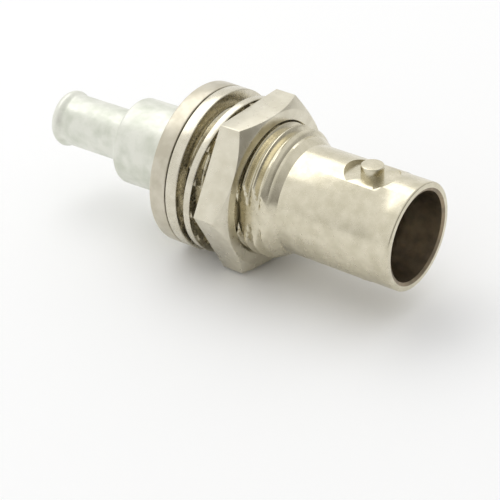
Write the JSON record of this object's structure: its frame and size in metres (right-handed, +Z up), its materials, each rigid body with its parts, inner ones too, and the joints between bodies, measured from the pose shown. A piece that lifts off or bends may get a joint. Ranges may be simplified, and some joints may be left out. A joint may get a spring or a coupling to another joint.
{
  "type": "bnc connector",
  "caption": "Bulkhead coaxial jack: bayonet barrel with two lugs, threaded body with flange, washers and hex nut, and a stepped crimp ferrule for the cable.",
  "frame": {"origin": "centre of the mouth, on the connector's axis in the plane of the rim", "axes": "+X along the connector's axis, out of the mouth; +Z up with the part lying on its side, one lug upwards; the cable leaves towards -X"},
  "size_m": [0.0385, 0.0166, 0.015],
  "materials": {
    "nickel_body": "bright nickel plate",
    "nickel_washer": "satin nickel plate",
    "nickel_nut": "satin nickel plate",
    "tinned_ferrule": "matte, soft metal",
    "white_insulator": "waxy",
    "gold_contact": "gold plate"
  },
  "bodies": {
    "shell": {"body": "nickel_body", "front_insulator": "white_insulator", "centre_contact": "gold_contact", "rear_insulator": "white_insulator", "crimp_stem": "nickel_body"},
    "spacer": {"flat_washer": "nickel_washer"},
    "locking": {"lock_washer": "nickel_washer"},
    "nut": {"hex_nut": "nickel_nut"},
    "sleeve": {"ferrule": "tinned_ferrule"}
  },
  "joints": [
    {"name": "washer_slide", "type": "slide", "parent": "shell", "child": "spacer", "axis": [1, 0, 0], "range_m": [-0.00008, 0.0001]},
    {"name": "nut_advance", "type": "slide", "parent": "shell", "child": "locking", "axis": [1, 0, 0], "range_m": [-0.0001, 0.00366]},
    {"name": "nut_spin", "type": "hinge", "parent": "locking", "child": "nut", "pos_m": [-0.01606, 0, 0], "axis": [1, 0, 0], "range_deg": [-36, 1320]},
    {"name": "ferrule_slide", "type": "slide", "parent": "shell", "child": "sleeve", "axis": [-1, 0, 0], "range_m": [0, 0.012]}
  ],
  "couplings": [
    {"joint": "nut_spin", "follows": "nut_advance", "rad_per_m": 6283.2}
  ]
}
